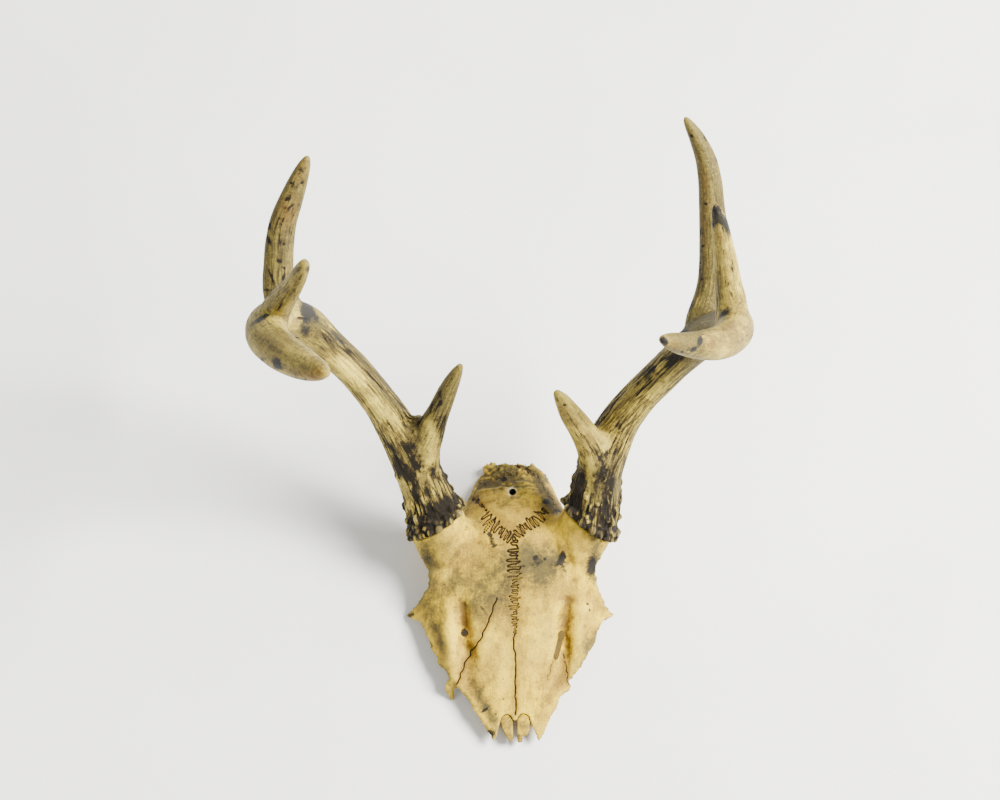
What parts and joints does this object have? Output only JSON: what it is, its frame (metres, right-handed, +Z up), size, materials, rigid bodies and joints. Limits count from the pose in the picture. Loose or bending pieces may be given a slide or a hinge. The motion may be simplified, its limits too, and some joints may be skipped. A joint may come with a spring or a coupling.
{
  "type": "deer antlers on skull plate",
  "caption": "White-tailed deer's sawn skull plate with both branching antlers, dry weathered bone, lying on its saw cut as a still display specimen.",
  "frame": {"origin": "on the level surface the specimen rests on, below the middle of its bounding box", "axes": "+Z up, +Y from the nose end towards the nape, +X towards the deer's left"},
  "size_m": [0.2596, 0.2794, 0.264],
  "materials": {
    "bone": "dry weathered bone, warm ivory with orange-brown in the sutures, dull",
    "antler": "antler, tan ridges and smooth pale tips with brown-black stain in the grooves"
  },
  "bodies": {
    "root": {"frontal_right": "bone", "frontal_left": "bone", "parietal": "bone", "occipital": "bone", "lacrimal_right": "bone", "nasal_stub_right": "bone", "nasal_stub_left": "bone", "antler_right_base": "antler", "antler_right_brow_tine": "antler", "antler_right_beam": "antler", "antler_right_second_tine": "antler", "antler_right_beam_end": "antler", "antler_right_third_tine": "antler", "antler_left_base": "antler", "antler_left_brow_tine": "antler", "antler_left_beam": "antler", "antler_left_second_tine": "antler", "antler_left_beam_end": "antler", "antler_left_third_tine": "antler"}
  },
  "joints": []
}
